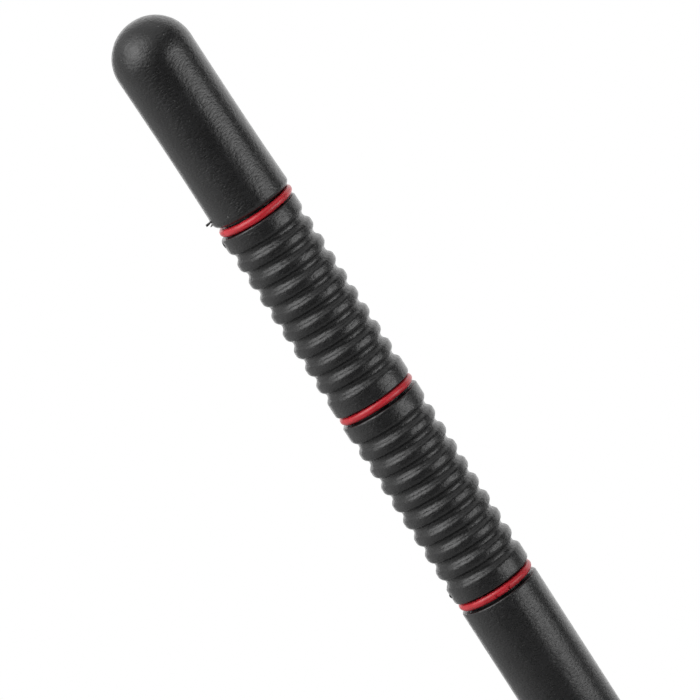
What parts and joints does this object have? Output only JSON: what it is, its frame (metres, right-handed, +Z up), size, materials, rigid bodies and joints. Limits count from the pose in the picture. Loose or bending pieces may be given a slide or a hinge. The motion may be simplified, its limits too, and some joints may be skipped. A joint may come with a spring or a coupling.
{
  "type": "car mast aerial",
  "caption": "Short round mast aerial for a car: domed tip, ribbed bands between red rings set in grooves, plain shaft, and a threaded stud at the foot.",
  "frame": {"origin": "on the mast's axis, on the ferrule's flat seat face where the stud starts", "axes": "+Z up the mast towards the domed tip, the stud points along -Z, and the flange's spanner flats face +X and -X"},
  "size_m": [0.01, 0.01, 0.1697],
  "materials": {
    "sheath_rubber": "satin, finely grained",
    "ring_rubber": "smooth satin",
    "glass_fibre": "ground rod",
    "copper_wire": "enamelled wire",
    "plated_brass": "nickel plated, turned"
  },
  "bodies": {
    "root": {"mast_sheath": "sheath_rubber", "upper_ring": "ring_rubber", "middle_ring": "ring_rubber", "lower_ring": "ring_rubber", "core_rod": "glass_fibre", "antenna_winding": "copper_wire", "threaded_ferrule": "plated_brass"}
  },
  "joints": []
}
